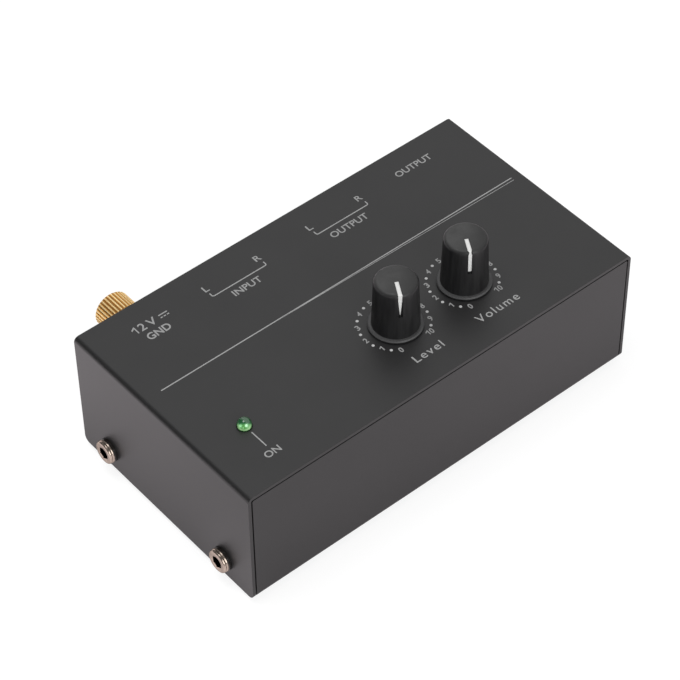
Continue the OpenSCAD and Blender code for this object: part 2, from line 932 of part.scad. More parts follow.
module pot_shaft(x) {
    low = wiper_z + wiper_t;
    color(steel) at_control(x, 0) {
        translate([0, 0, low]) cylinder(d = shaft_low_d, h = knob_z + knob_hollow_h - low);
        translate([0, 0, bushing_top + 0.3])
            cylinder(d = shaft_d, h = knob_z + shaft_len - bushing_top - 0.3);
    }
}

// A disc that carries one brush round the track on the housing's floor
module pot_wiper(x) {
    brush_low = pot_z + pot_floor + wiper_gap;
    color("#d8cfa8") at_control(x, 0) {
        translate([0, 0, wiper_z]) cylinder(d = cavity_d - 2 * wiper_gap, h = wiper_t);
        rotate([0, 0, pointer_angle]) translate([brush_r - 1, -0.7, brush_low])
            cube([1.4, 1.4, wiper_z + wiper_t / 2 - brush_low]);
    }
}

// Half outline of the knob's outside: skirt, tapered side and rounded top edge
function knob_outline() = concat(
    [[0, 0], [knob_skirt_d / 2, 0], [knob_skirt_d / 2, knob_skirt_t - skirt_chamfer],
        [knob_skirt_d / 2 - skirt_chamfer, knob_skirt_t], [knob_base_d / 2, knob_skirt_t]],
    [for (i = [0:edge_steps]) let (a = 90 * i / edge_steps)
        [knob_top_d / 2 - knob_edge_r * (1 - cos(a)), knob_h - knob_edge_r * (1 - sin(a))]],
    [[0, knob_h]]
);

module pointer_groove() {
    side_r = (knob_top_d + (knob_base_d - knob_top_d) * pointer_drop / knob_h) / 2;
    rotate([0, 0, pointer_angle]) {
        translate([pointer_start, -pointer_w / 2, knob_h - pointer_t])
            cube([knob_skirt_d, pointer_w, 2]);
        translate([side_r - 2 * pointer_t, -pointer_w / 2, knob_h - pointer_drop])
            cube([knob_skirt_d, pointer_w, pointer_drop + 1]);
    }
}

module knob(x) {
    color(knob_black) at_control(x, knob_z) difference() {
        rotate_extrude() polygon(knob_outline());
        translate([0, 0, -1]) cylinder(d = knob_hollow_d, h = knob_hollow_h + 1);
        translate([0, 0, knob_hollow_h - 1])
            cylinder(d = shaft_d + 2 * fit_gap, h = knob_bore_h + 1);
        translate([0, 0, knob_hollow_h - 0.5]) tube(hub_slot_d, hub_d, knob_bore_h + 0.5);
        pointer_groove();
    }
}

module level_pot_body() {
    pot_body(level_x);
}

module level_bushing() {
    pot_bushing(level_x);
}

module level_nut() {
    pot_nut(level_x);
}

module level_washer() {
    pot_washer(level_x);
}

module level_terminals() {
    pot_terminals(level_x);
}

module level_shaft() {
    pot_shaft(level_x);
}

module level_wiper() {
    pot_wiper(level_x);
}

module level_knob() {
    knob(level_x);
}

module volume_pot_body() {
    pot_body(volume_x);
}

module volume_bushing() {
    pot_bushing(volume_x);
}

module volume_nut() {
    pot_nut(volume_x);
}

module volume_washer() {
    pot_washer(volume_x);
}

module volume_terminals() {
    pot_terminals(volume_x);
}

module volume_shaft() {
    pot_shaft(volume_x);
}

module volume_wiper() {
    pot_wiper(volume_x);
}

module volume_knob() {
    knob(volume_x);
}

// ---- lamp ----

module lamp_lens() {
    dome_z = case_h + lamp_out - lamp_d / 2;
    color("#2f9a4b") in_case() translate([lamp_x, lamp_y, 0]) {
        translate([0, 0, lamp_low]) cylinder(d = lamp_flange_d, h = lamp_flange_t);
        translate([0, 0, lamp_low]) cylinder(d = lamp_d, h = dome_z - lamp_low);
        translate([0, 0, dome_z]) sphere(d = lamp_d);
    }
}

module at_leads(z) {
    for (side = [-1, 1]) {
        translate([lamp_x + side * lead_pitch / 2, lamp_y, z]) children();
    }
}

module lamp_leads() {
    color(steel) in_case() at_leads(pcb_top) cylinder(d = lead_d, h = lamp_low - pcb_top);
}

module lamp_spacer() {
    color("#202022") in_case() difference() {
        translate([lamp_x, lamp_y, pcb_top]) cylinder(d = lamp_flange_d, h = lamp_low - pcb_top);
        at_leads(pcb_top - 1) cylinder(d = lead_d + 2 * fit_gap, h = lamp_low - pcb_top + 2);
    }
}

// ---- parts on the main board ----

module electrolytic_caps() {
    color("#27303c") in_case() {
        for (i = [0:cap_count - 1]) {
            translate([cap_x + i * cap_pitch, cap_y, pcb_top]) chamfered_disc(cap_d, cap_h, 0.5);
        }
    }
}

module film_caps() {
    color("#9a3324") in_case() {
        for (i = [0:film_count - 1]) {
            translate([film_x + i * film_pitch, film_y, pcb_top]) cube(film_size);
        }
    }
}

// Each resistor stands on its two bent leads
module resistors() {
    color("#b59a6c") in_case() {
        for (i = [0:resistor_count - 1]) {
            translate([resistor_x + i * resistor_pitch, resistor_y, pcb_top]) {
                translate([0, -resistor_len / 2, resistor_d / 2 + 0.5]) rotate([-90, 0, 0])
                    cylinder(d = resistor_d, h = resistor_len);
                for (side = [-1, 1]) {
                    translate([-0.3, side * (resistor_len / 2 + 0.5) - 0.6, 0])
                        cube([0.6, 1.2, resistor_d / 2 + 0.8]);
                }
            }
        }
    }
}

module amplifier_chips() {
    color("#1b1b1d") in_case() {
        for (i = [0:chip_count - 1]) {
            translate([chip_x + i * chip_pitch, chip_y, pcb_top]) {
                translate([-chip_size[0] / 2, -chip_size[1] / 2, 0.5]) cube(chip_size);
                for (side = [-1, 1], leg = [-1.5:1:1.5]) {
                    translate([leg * chip_leg_pitch - 0.3, side * chip_size[1] / 2 - 0.3, 0])
                        cube([0.6, 0.6, 2]);
                }
            }
        }
    }
}

top_cover();
base_chassis();
threaded_inserts();
cover_screws();
screw_washers();
rubber_feet();
pcb_standoffs();
pcb_screws();
main_pcb();
control_board();
header_sockets();
ribbon_cable();
power_socket();
power_pin();
power_contacts();
input_block();
input_sleeves();
input_left_insert();
input_right_insert();
input_contacts();
output_block();
output_sleeves();
output_left_insert();
output_right_insert();
output_contacts();
jack_body();
jack_bushing();
jack_nut();
jack_washer();
jack_contacts();
post_stud();
post_hex_nut();
post_lock_washer();
post_solder_lug();
post_wire();
post_clamp_washer();
post_thumb_nut();
level_pot_body();
level_bushing();
level_nut();
level_washer();
level_terminals();
level_shaft();
level_wiper();
level_knob();
volume_pot_body();
volume_bushing();
volume_nut();
volume_washer();
volume_terminals();
volume_shaft();
volume_wiper();
volume_knob();
lamp_lens();
lamp_leads();
lamp_spacer();
electrolytic_caps();
film_caps();
resistors();
amplifier_chips();
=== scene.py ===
"""Looks of a desktop phono preamp: black powder-coated case, two controls,
a green lamp, grey print, and sockets with a ground post behind."""

import json
import math

import bmesh
import bpy
from mathutils import Matrix, Vector


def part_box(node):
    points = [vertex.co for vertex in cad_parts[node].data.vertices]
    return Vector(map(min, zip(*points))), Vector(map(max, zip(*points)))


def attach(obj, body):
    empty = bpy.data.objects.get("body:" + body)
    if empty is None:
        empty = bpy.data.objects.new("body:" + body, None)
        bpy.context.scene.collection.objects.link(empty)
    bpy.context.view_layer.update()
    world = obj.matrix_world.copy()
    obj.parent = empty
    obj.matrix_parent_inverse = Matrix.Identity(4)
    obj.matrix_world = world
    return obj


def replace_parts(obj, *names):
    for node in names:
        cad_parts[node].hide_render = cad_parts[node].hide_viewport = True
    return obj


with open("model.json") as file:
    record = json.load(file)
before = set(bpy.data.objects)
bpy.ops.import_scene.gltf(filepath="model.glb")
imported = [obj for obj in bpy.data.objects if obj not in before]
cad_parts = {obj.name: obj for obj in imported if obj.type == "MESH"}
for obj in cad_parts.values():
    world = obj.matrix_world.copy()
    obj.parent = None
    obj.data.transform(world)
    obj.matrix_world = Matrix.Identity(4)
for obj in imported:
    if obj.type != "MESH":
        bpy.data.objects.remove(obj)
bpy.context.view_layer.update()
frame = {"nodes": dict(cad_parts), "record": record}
MM = 0.001

# ---- places, in millimetres in the row frame ----


def box(node):
    """A CAD node's lowest and highest corners."""
    return [Vector(corner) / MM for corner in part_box(node)]


def middle(node):
    low, high = box(node)
    return (low + high) / 2


CASE_TOP = box("top_cover")[1]
CASE_Y = middle("top_cover").y  # the case's middle, front to rear
HALF_W = CASE_TOP.x
HALF_D = CASE_TOP.y - CASE_Y
REAR_Y = CASE_TOP.y  # outer face of the rear panel
LID_Z = CASE_TOP.z  # top face of the cover
LEVEL_X, CONTROL_Y = middle("level_knob").xy
VOLUME_X = middle("volume_knob").x
KNOB_LOW_Z, KNOB_TOP_Z = (corner.z for corner in box("level_knob"))
LAMP_R = 2.1  # radius of the lens's dome
LAMP_X, LAMP_Y = middle("lamp_lens").xy
LAMP_Z = box("lamp_lens")[1].z - LAMP_R  # centre of the dome
POST_X, _, POST_Z = middle("post_thumb_nut")
JACK_X, _, JACK_Z = middle("jack_nut")
SCREW_X = box("screw_washers")[1].x  # outer face of the washers
SCREW_Y = 25.2  # from the case's middle to either row of screws
SCREW_Z = middle("screw_washers").z
SOCKET_FLAT = 1.7  # from a screw's axis to the flats of its hexagon socket
SOCKET_RIM = 1.36  # height of the socket's rim over the washer


# ---------------------------------------------------------------- shader nodes


def new_material(name):
    mat = bpy.data.materials.new(name)
    mat.use_nodes = True
    return mat, mat.node_tree, mat.node_tree.nodes["Principled BSDF"]


def add(tree, kind, **inputs):
    """A new node with the given values on its inputs."""
    node = tree.nodes.new(kind)
    for key, value in inputs.items():
        node.inputs[key.replace("_", " ")].default_value = value
    return node


def feed(tree, node, values):
    """Gives a node's inputs, by name or number, a constant or a link from a socket each."""
    for key, value in values.items():
        if isinstance(value, (int, float)):
            node.inputs[key].default_value = value
        elif isinstance(value, tuple):
            node.inputs[key].default_value = (*value, 1)
        else:
            tree.links.new(value, node.inputs[key])


def math_node(tree, operation, *values):
    """A number operation on sockets or constants."""
    node = tree.nodes.new("ShaderNodeMath")
    node.operation = operation
    feed(tree, node, dict(enumerate(values)))
    return node.outputs[0]


def vector_math(tree, operation, a, b):
    """A vector operation on a socket and a constant."""
    node = tree.nodes.new("ShaderNodeVectorMath")
    node.operation = operation
    tree.links.new(a, node.inputs[0])
    node.inputs[1].default_value = b
    return node.outputs["Value" if operation in ("DOT_PRODUCT", "DISTANCE") else "Vector"]


def mix_value(tree, factor, low, high):
    """low where factor is 0, high where it is 1. Each may be a number or a socket."""
    node = tree.nodes.new("ShaderNodeMix")
    feed(tree, node, {"Factor": factor, "A": low, "B": high})
    return node.outputs["Result"]


def blend(tree, factor, a, b):
    """Colour a where factor is 0 and b where it is 1. Each may be a colour or a socket."""
    node = tree.nodes.new("ShaderNodeMix")
    node.data_type = "RGBA"
    feed(tree, node, {0: factor, 6: a, 7: b})  # 6 and 7 are the node's two colours
    return node.outputs[2]


def to_range(tree, value, low, high, new_low=0.0, new_high=1.0):
    """Maps low to new_low and high to new_high, and stays between them."""
    node = tree.nodes.new("ShaderNodeMapRange")
    feed(tree, node, dict(enumerate((value, low, high, new_low, new_high))))
    return node.outputs[0]


def ramp(tree, factor, stops, constant=False):
    """Colour ramp through (position, colour) stops."""
    node = tree.nodes.new("ShaderNodeValToRGB")
    if constant:
        node.color_ramp.interpolation = "CONSTANT"
    steps = node.color_ramp.elements
    while len(steps) < len(stops):
        steps.new(0.5)
    for step, (at, colour) in zip(steps, stops):
        step.position = at
        step.color = (*colour, 1)
    tree.links.new(factor, node.inputs["Fac"])
    return node.outputs["Color"]


def ramp_over(tree, value, low, high, stops, constant=False):
    """Colour ramp whose stops are given as values between low and high."""
    factor = to_range(tree, value, low, high)
    stops = [((at - low) / (high - low), colour) for at, colour in stops]
    return ramp(tree, factor, stops, constant)


def object_place(tree, scale=(1, 1, 1)):
    """Object coordinates in millimetres, stretched by scale."""
    coord = tree.nodes.new("ShaderNodeTexCoord")
    mapping = tree.nodes.new("ShaderNodeMapping")
    mapping.inputs["Scale"].default_value = [s / MM for s in scale]
    tree.links.new(coord.outputs["Object"], mapping.inputs["Vector"])
    return mapping.outputs["Vector"]


def axes_of(tree, vector):
    """The X, Y and Z sockets of a vector socket."""
    node = tree.nodes.new("ShaderNodeSeparateXYZ")
    tree.links.new(vector, node.inputs["Vector"])
    return tuple(node.outputs)


def noise(tree, place, scale, detail=4.0, rough=0.6):
    node = add(tree, "ShaderNodeTexNoise", Scale=scale, Detail=detail, Roughness=rough)
    tree.links.new(place, node.inputs["Vector"])
    return node.outputs["Fac"]


def spread(tree, pattern, low, high):
    """The middle part of a noise pattern, taken to run from low to high."""
    return to_range(tree, pattern, 0.3, 0.7, low, high)


def bump(tree, bsdf, height, distance, strength=1.0):
    """Relief from a height pattern. distance is in millimetres."""
    node = add(tree, "ShaderNodeBump", Distance=distance * MM, Strength=strength)
    tree.links.new(height, node.inputs["Height"])
    tree.links.new(node.outputs["Normal"], bsdf.inputs["Normal"])


def ray_kind(tree, kind):
    return tree.nodes.new("ShaderNodeLightPath").outputs[kind]


# ---------------------------------------------------------------- materials

# Surfaces that are alike all over. colour and rough are their means, vary is the share by
# which the colour changes, patch and grain are noise scales per millimetre.
FINISHES = {
    "washer_black": dict(colour=(0.012, 0.010, 0.009), rough=0.3, vary=0.15, patch=0.8),
    "zinc_steel": dict(colour=(0.55, 0.56, 0.58), rough=0.32, metal=1.0, vary=0.1, patch=0.6,
                       grain=2.0, grain_depth=0.004, stretch=(1, 0.15, 1)),
    "nickel": dict(colour=(0.66, 0.64, 0.60), rough=0.16, metal=1.0, vary=0.06, patch=0.5,
                   grain=1.5, grain_depth=0.002),
    "gold_brass": dict(colour=(0.83, 0.53, 0.17), rough=0.22, metal=1.0, vary=0.10, patch=0.6,
                       grain=2.5, grain_depth=0.003),
    "socket_plastic": dict(colour=(0.016, 0.016, 0.017), rough=0.45, vary=0.12, grain=2.0,
                           grain_depth=0.008),
    "white_plastic": dict(colour=(0.72, 0.71, 0.67), rough=0.32, vary=0.03, grain=1.2,
                          grain_depth=0.004),
    "red_plastic": dict(colour=(0.50, 0.018, 0.016), rough=0.30, vary=0.06, grain=1.2,
                        grain_depth=0.004),
    "foot_rubber": dict(colour=(0.012, 0.012, 0.012), rough=0.8, vary=0.15, grain=2.5,
                        grain_depth=0.02),
    "header_cream": dict(colour=(0.70, 0.66, 0.56), rough=0.45, vary=0.05, grain=1.0,
                         grain_depth=0.005),
    "wire_green": dict(colour=(0.03, 0.16, 0.05), rough=0.4, vary=0.1, grain=1.5,
                       grain_depth=0.01),
    "film_red": dict(colour=(0.32, 0.035, 0.018), rough=0.35, vary=0.1, grain=0.8,
                     grain_depth=0.02),
    "wiper_tan": dict(colour=(0.55, 0.45, 0.26), rough=0.5, grain=1.0, grain_depth=0.01),
    "ink_grey": dict(colour=(0.33, 0.33, 0.33), rough=0.55, vary=0.10, patch=0.9, grain=4.0,
                     grain_depth=0.004),
    "ink_dim": dict(colour=(0.30, 0.30, 0.30), rough=0.55, vary=0.12, patch=0.9, grain=4.0,
                    grain_depth=0.004),
    "ink_bright": dict(colour=(0.50, 0.50, 0.50), rough=0.55, vary=0.10, patch=0.9, grain=4.0,
                       grain_depth=0.004),
    "pointer_white": dict(colour=(0.74, 0.74, 0.73), rough=0.5, vary=0.06, patch=0.9, grain=2.0,
                          grain_depth=0.01),
}


def scaled(colour, factor):
    return tuple(min(c * factor, 1.0) for c in colour)


def finish_of(name, colour, rough, metal=0.0, vary=0.08, patch=0.25, grain=0.0,
              grain_depth=0.0, stretch=(1, 1, 1)):
    """A surface with patches of slightly other colour and gloss, and a fine grain."""
    mat, tree, bsdf = new_material(name)
    place = object_place(tree, stretch)
    patches = noise(tree, place, patch)
    stops = [(0.3, scaled(colour, 1 - vary)), (0.7, scaled(colour, 1 + vary))]
    tree.links.new(ramp(tree, patches, stops), bsdf.inputs["Base Color"])
    tree.links.new(spread(tree, patches, rough * 0.9, rough * 1.1), bsdf.inputs["Roughness"])
    bsdf.inputs["Metallic"].default_value = metal
    if grain:
        bump(tree, bsdf, noise(tree, place, grain), grain_depth)
    return mat


def powder_coat():
    """Fine even grain with a slight orange peel, and a tone that changes a little over the case."""
    mat, tree, bsdf = new_material("case_paint")
    place = object_place(tree)
    fine = noise(tree, place, 5.0, 3.0)
    wide = noise(tree, place, 0.05, 3.0)
    tone = ramp(tree, wide, [(0.3, (0.0150, 0.0148, 0.0152)), (0.7, (0.0175, 0.0172, 0.0176))])
    tree.links.new(tone, bsdf.inputs["Base Color"])
    tree.links.new(spread(tree, fine, 0.40, 0.48), bsdf.inputs["Roughness"])
    bump(tree, bsdf, fine, 0.012, 0.35)
    return mat


def banded(name, axis, low, high, bands, rough, repeat=False):
    """Colour bands between two places on one axis of the row frame, or repeated along it.
    bands are (start, colour)."""
    mat, tree, bsdf = new_material(name)
    place = object_place(tree)
    value = axes_of(tree, place)["XYZ".index(axis)]
    if repeat:
        value = math_node(tree, "WRAP", value, high, low)
    tree.links.new(ramp_over(tree, value, low, high, bands, True), bsdf.inputs["Base Color"])
    speck = noise(tree, place, 1.5)
    tree.links.new(spread(tree, speck, rough * 0.85, rough * 1.15), bsdf.inputs["Roughness"])
    return mat


def ribbon():
    """Grey flat cable with a dark groove between its wires."""
    wire_pitch = 1.27
    return banded("cable_grey", "X", 0.0, wire_pitch,
                  [(0.0, (0.30, 0.31, 0.33)), (1.0, (0.16, 0.165, 0.18))], 0.5, True)


def can_sleeve():
    """Dark sleeve of the electrolytic capacitors under a bare metal top."""
    can_top = 20.75
    return banded("can_sleeve", "Z", 0.0, can_top + 1,
                  [(0.0, (0.015, 0.022, 0.04)), (can_top, (0.6, 0.61, 0.63))], 0.3)


def resistor_tan():
    """Tan bodies with four colour bands, between bare leads."""
    front, rear, band_w = -32.75, -26.75, 0.5
    lead, tan = (0.55, 0.56, 0.58), (0.46, 0.31, 0.15)
    bands = [(front + 0.85, (0.30, 0.06, 0.02)), (front + 2.15, (0.02, 0.02, 0.02)),
             (front + 3.45, (0.62, 0.28, 0.02)), (front + 4.85, (0.55, 0.38, 0.10))]
    stops = [(-60.0, lead), (front, tan)]
    for at, colour in bands:
        stops += [(at, colour), (at + band_w, tan)]
    return banded("resistor_tan", "Y", -60.0, rear + 1, stops + [(rear, lead)], 0.35)


def circuit_board():
    """Green solder mask with darker traces and small bare pads."""
    mat, tree, bsdf = new_material("board_green")
    place = object_place(tree)
    cells = add(tree, "ShaderNodeTexVoronoi", Scale=0.35)
    cells.distance = "MANHATTAN"
    cells.feature = "F1"
    tree.links.new(place, cells.inputs["Vector"])
    mask = [(0.0, (0.45, 0.43, 0.36)), (0.10, (0.010, 0.075, 0.030)), (0.16, (0.014, 0.13, 0.05)),
            (0.55, (0.010, 0.085, 0.035)), (0.62, (0.014, 0.13, 0.05))]
    tree.links.new(ramp(tree, cells.outputs["Distance"], mask), bsdf.inputs["Base Color"])
    speck = noise(tree, place, 0.8)
    tree.links.new(spread(tree, speck, 0.28, 0.4), bsdf.inputs["Roughness"])
    bump(tree, bsdf, cells.outputs["Distance"], 0.03, 0.4)
    return mat


# Painted light, shade and reflections on the lens are laid out flat: X to its right and Y up its
# slope, both in lens radii
LENS_RIGHT = (0.77, -0.64, 0)
LENS_UP = (0.474, 0.552, 0.686)
# Painted shading of the lens: dark above and pale below
LENS_PAINTED_SHADING = [(0.0, (0.17, 0.46, 0.14)), (0.40, (0.13, 0.40, 0.12)), (0.53, (0.05, 0.20, 0.07)),
              (0.62, (0.020, 0.095, 0.036)), (1.0, (0.014, 0.070, 0.027))]
# Painted reflections of the chip's cup: two pale lobes with a darker notch, and a small pale spot
LENS_PAINTED_SPOTS = [  # X, Y, solid radius, faded radius, colour
    (-0.02, -0.34, 0.20, 0.42, (0.11, 0.36, 0.09)),
    (-0.46, -0.20, 0.08, 0.28, (0.36, 0.88, 0.40)),
    (0.32, -0.16, 0.08, 0.30, (0.33, 0.80, 0.36)),
    (-0.08, -0.44, 0.02, 0.14, (0.30, 0.72, 0.28)),
]


def lamp_glass():
    """Clear green dome with painted light and shade: dark above, a painted reflection of the bright
    chip's cup seen low inside it, and painted shade round its base.
    """
    mat, tree, bsdf = new_material("lamp_green")
    place = object_place(tree)
    ball = vector_math(tree, "SUBTRACT", place, (LAMP_X, LAMP_Y, LAMP_Z))
    ball = vector_math(tree, "MULTIPLY", ball, (1 / LAMP_R,) * 3)
    height = vector_math(tree, "DOT_PRODUCT", ball, LENS_UP)
    flat_node = tree.nodes.new("ShaderNodeCombineXYZ")
    feed(tree, flat_node, {"X": vector_math(tree, "DOT_PRODUCT", ball, LENS_RIGHT), "Y": height})
    flat = flat_node.outputs[0]
    radius = vector_math(tree, "DISTANCE", flat, (0, 0, 0))
    glow = ramp(tree, to_range(tree, height, -1.0, 1.0), LENS_PAINTED_SHADING)
    for x, y, solid, faded, colour in LENS_PAINTED_SPOTS:
        spot = to_range(tree, vector_math(tree, "DISTANCE", flat, (x, y, 0)), faded, solid)
        glow = blend(tree, spot, glow, colour)
    # Painted light: a bright ring low round the dome
    low = to_range(tree, height, 0.1, -0.35)
    rim = math_node(tree, "MULTIPLY", low, to_range(tree, radius, 0.56, 0.74))
    glow = blend(tree, rim, glow, (0.44, 0.80, 0.37))
    # Painted shade round the dome's base and down in the lid's hole
    painted_hole_shade = to_range(tree, axes_of(tree, place)[2], LID_Z + 0.55, LID_Z + 0.2)
    painted_foot_shade = math_node(tree, "MAXIMUM", to_range(tree, radius, 0.86, 0.96), painted_hole_shade)
    glow = blend(tree, painted_foot_shade, glow, (0.008, 0.05, 0.010))
    tree.links.new(glow, bsdf.inputs["Base Color"])
    tree.links.new(spread(tree, noise(tree, place, 1.0), 0.06, 0.12), bsdf.inputs["Roughness"])
    bsdf.inputs["Coat Weight"].default_value = 1.0
    bsdf.inputs["Coat Roughness"].default_value = 0.03
    return mat


def knob_plastic():
    """Satin black with faint upright streaks; the top is paler with painted light, and the skirt's
    rim carries a painted highlight.
    """
    mat, tree, bsdf = new_material("knob_plastic")
    place = object_place(tree)
    x, y, z = axes_of(tree, place)
    patches = noise(tree, place, 0.22, 3.0)
    streaks = noise(tree, object_place(tree, (1, 1, 0.08)), 0.9, 2.0)
    side = ramp(tree, streaks, [(0.35, (0.009, 0.009, 0.0095)), (0.65, (0.017, 0.017, 0.0175))])

    # Painted light and shade on the top: paler towards the rear, by patches, and darker at its
    # front right. Both knobs share one pattern, so X is wrapped from one to the other
    dark, pale, shaded = (0.024,) * 3, (0.062,) * 3, (0.016,) * 3
    front, rear = CONTROL_Y - 6, CONTROL_Y + 6
    top = ramp_over(tree, y, front, rear, [(front, dark), (rear, pale)])
    top = blend(tree, to_range(tree, patches, 0.35, 0.65, 0.0, 0.6), top, dark)
    slant, half_pitch = 0.8, (VOLUME_X - LEVEL_X) / 2
    both = math_node(tree, "WRAP", x, LEVEL_X + half_pitch, LEVEL_X - half_pitch)
    right = math_node(tree, "ADD", both, math_node(tree, "MULTIPLY", y, -slant))
    axis = LEVEL_X - slant * CONTROL_Y
    top = blend(tree, to_range(tree, right, axis + 1, axis + 6), top, shaded)

    # Painted light: the top is paler than the sides
    tone = blend(tree, to_range(tree, z, KNOB_TOP_Z - 0.9, KNOB_TOP_Z - 0.1), side, top)
    # Painted highlight: a pale band round the skirt's rim
    rim_highlight_low, rim_highlight_high = KNOB_LOW_Z + 0.38, KNOB_LOW_Z + 0.84
    rim = math_node(tree, "MULTIPLY", to_range(tree, z, rim_highlight_high, rim_highlight_high - 0.04),
                    to_range(tree, z, rim_highlight_low, rim_highlight_low + 0.10))
    tree.links.new(blend(tree, rim, tone, (0.060, 0.060, 0.061)), bsdf.inputs["Base Color"])
    tree.links.new(spread(tree, patches, 0.38, 0.46), bsdf.inputs["Roughness"])
    bsdf.inputs["Specular IOR Level"].default_value = 0.4
    bump(tree, bsdf, noise(tree, place, 2.5), 0.006)
    return mat


def knurled_gold():
    """Gold with painted shade in the grooves and painted highlights on the crests, told apart by the
    distance from the axis.
    """
    mat, tree, bsdf = new_material("knurled_gold")
    root, crest = 4.9, 5.55
    place = object_place(tree)
    spoke = vector_math(tree, "MULTIPLY", place, (1, 0, 1))
    radius = vector_math(tree, "DISTANCE", spoke, (POST_X, 0, POST_Z))
    # Painted shade in the grooves and painted highlights towards the crests
    stops = [(root, (0.80, 0.50, 0.18)), (5.02, (0.30, 0.14, 0.03)), (5.2, (0.66, 0.36, 0.09)),
             (5.42, (1.0, 0.63, 0.21)), (crest, (1.0, 0.76, 0.38))]
    tree.links.new(ramp_over(tree, radius, root, crest, stops), bsdf.inputs["Base Color"])
    tree.links.new(spread(tree, noise(tree, place, 0.9), 0.30, 0.40), bsdf.inputs["Roughness"])
    bsdf.inputs["Metallic"].default_value = 0.3
    return mat


def screw_steel():
    """Brown nickel plate, with painted shade: black and rough down in the hexagon sockets."""
    mat, tree, bsdf = new_material("screw_plate")
    place = object_place(tree)
    centred = vector_math(tree, "SUBTRACT", place, (0, CASE_Y, SCREW_Z))
    folded = vector_math(tree, "ABSOLUTE", centred, (0, 0, 0))  # the four screws as one
    across = vector_math(tree, "MULTIPLY", folded, (0, 1, 1))
    radius = vector_math(tree, "DISTANCE", across, (0, SCREW_Y, 0))
    rim = SCREW_X + SOCKET_RIM
    # Painted shade: black and rough down in each hexagon socket
    socket = math_node(tree, "MULTIPLY",
                       to_range(tree, radius, SOCKET_FLAT + 0.36, SOCKET_FLAT + 0.30),
                       to_range(tree, axes_of(tree, folded)[0], rim + 0.04, rim - 0.02))
    patches = noise(tree, place, 0.45, 2.0)
    plate = ramp(tree, patches, [(0.35, (0.41, 0.34, 0.285)), (0.65, (0.57, 0.47, 0.40))])
    tree.links.new(blend(tree, socket, plate, (0.004, 0.003, 0.003)), bsdf.inputs["Base Color"])
    gloss = spread(tree, patches, 0.20, 0.28)
    tree.links.new(mix_value(tree, socket, gloss, 0.9), bsdf.inputs["Roughness"])
    tree.links.new(mix_value(tree, socket, 0.86, 1.0), bsdf.inputs["Metallic"])
    bsdf.inputs["Specular Tint"].default_value = (0.4, 0.4, 0.4, 1.0)
    bump(tree, bsdf, noise(tree, place, 1.5, 2.0), 0.001)
    return mat


def make_materials():
    mats = {
        "case_paint": powder_coat(),
        "knob_plastic": knob_plastic(),
        "knurled_gold": knurled_gold(),
        "screw_plate": screw_steel(),
        "lamp_green": lamp_glass(),
        "board_green": circuit_board(),
        "cable_grey": ribbon(),
        "can_sleeve": can_sleeve(),
        "resistor_tan": resistor_tan(),
    }
    for name, look in FINISHES.items():
        mats[name] = finish_of(name, **look)
    return mats


# ---------------------------------------------------------------- mesh helpers

SMOOTH_ANGLE = math.radians(32)  # edges over this angle stay sharp


def new_object(name, data):
    obj = bpy.data.objects.new(name, data)
    bpy.context.scene.collection.objects.link(obj)
    return obj


def piece(name, bm, material, body="case"):
    """A new mesh piece in millimetres of the row frame, riding on a body."""
    bmesh.ops.remove_doubles(bm, verts=bm.verts, dist=1e-4)
    bmesh.ops.recalc_face_normals(bm, faces=bm.faces)
    mesh = bpy.data.meshes.new(name)
    bm.to_mesh(mesh)
    bm.free()
    mesh.transform(Matrix.Scale(MM, 4))
    mesh.polygons.foreach_set("use_smooth", [True] * len(mesh.polygons))
    mesh.set_sharp_from_angle(angle=SMOOTH_ANGLE)
    mesh.materials.append(material)
    obj = new_object(name, mesh)
    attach(obj, body)
    return obj


def turned(bm, rows, steps, place, capped):
    """Rows of (radius, height) turned round Z. A radius may be a function of the angle.
    The first and last rows are capped, or else joined to each other."""
    rings = []
    for radius, z in rows:
        ring = []
        for i in range(steps):
            a = 2 * math.pi * i / steps
            r = radius(a) if callable(radius) else radius
            ring.append(bm.verts.new(place @ Vector((r * math.cos(a), r * math.sin(a), z))))
        rings.append(ring)
    following = rings[1:] if capped else rings[1:] + rings[:1]
    for near, far in zip(rings, following):
        for i in range(steps):
            k = (i + 1) % steps
            bm.faces.new((near[i], near[k], far[k], far[i]))
    if capped:
        bm.faces.new(rings[0])
        bm.faces.new(rings[-1])


def slab(bm, outline, low, high):
    """A flat outline of (x, y) points raised from low to high."""
    under = [bm.verts.new((x, y, low)) for x, y in outline]
    over = [bm.verts.new((x, y, high)) for x, y in outline]
    bm.faces.new(list(reversed(under)))
    bm.faces.new(over)
    for i in range(len(outline)):
        k = (i + 1) % len(outline)
        bm.faces.new((under[i], under[k], over[k], over[i]))


def round_point(x, y, radius, angle):
    return x + radius * math.cos(angle), y + radius * math.sin(angle)


# ---------------------------------------------------------------- print

INK_LOW = LID_Z - 0.015  # the ink's underside, just inside the paint
INK_TOP = LID_Z + 0.03
LINE_W = 0.34
HAIRLINE_W = 0.16
DIAL_X = {"level": 1.1, "volume": 26.0}
DIAL_Y = CASE_Y - 14.5
DIAL_R = 10.0
DIAL_START = 240  # degrees at the number 0
DIAL_STEP = 30  # degrees from number to number, clockwise
DIGIT_H = 1.75
DOT_R = 0.43


def glyphs(text, weight=0.0, spacing=1.0):
    """(vertices, faces) of a word at a letter size of 1, with its left edge and base at 0."""
    curve = bpy.data.curves.new("glyphs", "FONT")
    curve.body = text
    curve.size = 1.0
    curve.resolution_u = 4
    curve.offset = weight
    curve.space_character = spacing
    obj = new_object("glyphs", curve)
    shown = obj.evaluated_get(bpy.context.evaluated_depsgraph_get())
    mesh = bpy.data.meshes.new_from_object(shown)
    verts = [v.co.copy() for v in mesh.vertices]
    faces = [tuple(p.vertices) for p in mesh.polygons]
    bpy.data.objects.remove(obj)
    bpy.data.curves.remove(curve)
    bpy.data.meshes.remove(mesh)
    return verts, faces


def cap_height():
    """Height of a capital at a letter size of 1."""
    verts, _ = glyphs("H")
    return max(v.y for v in verts) - min(v.y for v in verts)


CAP = cap_height()


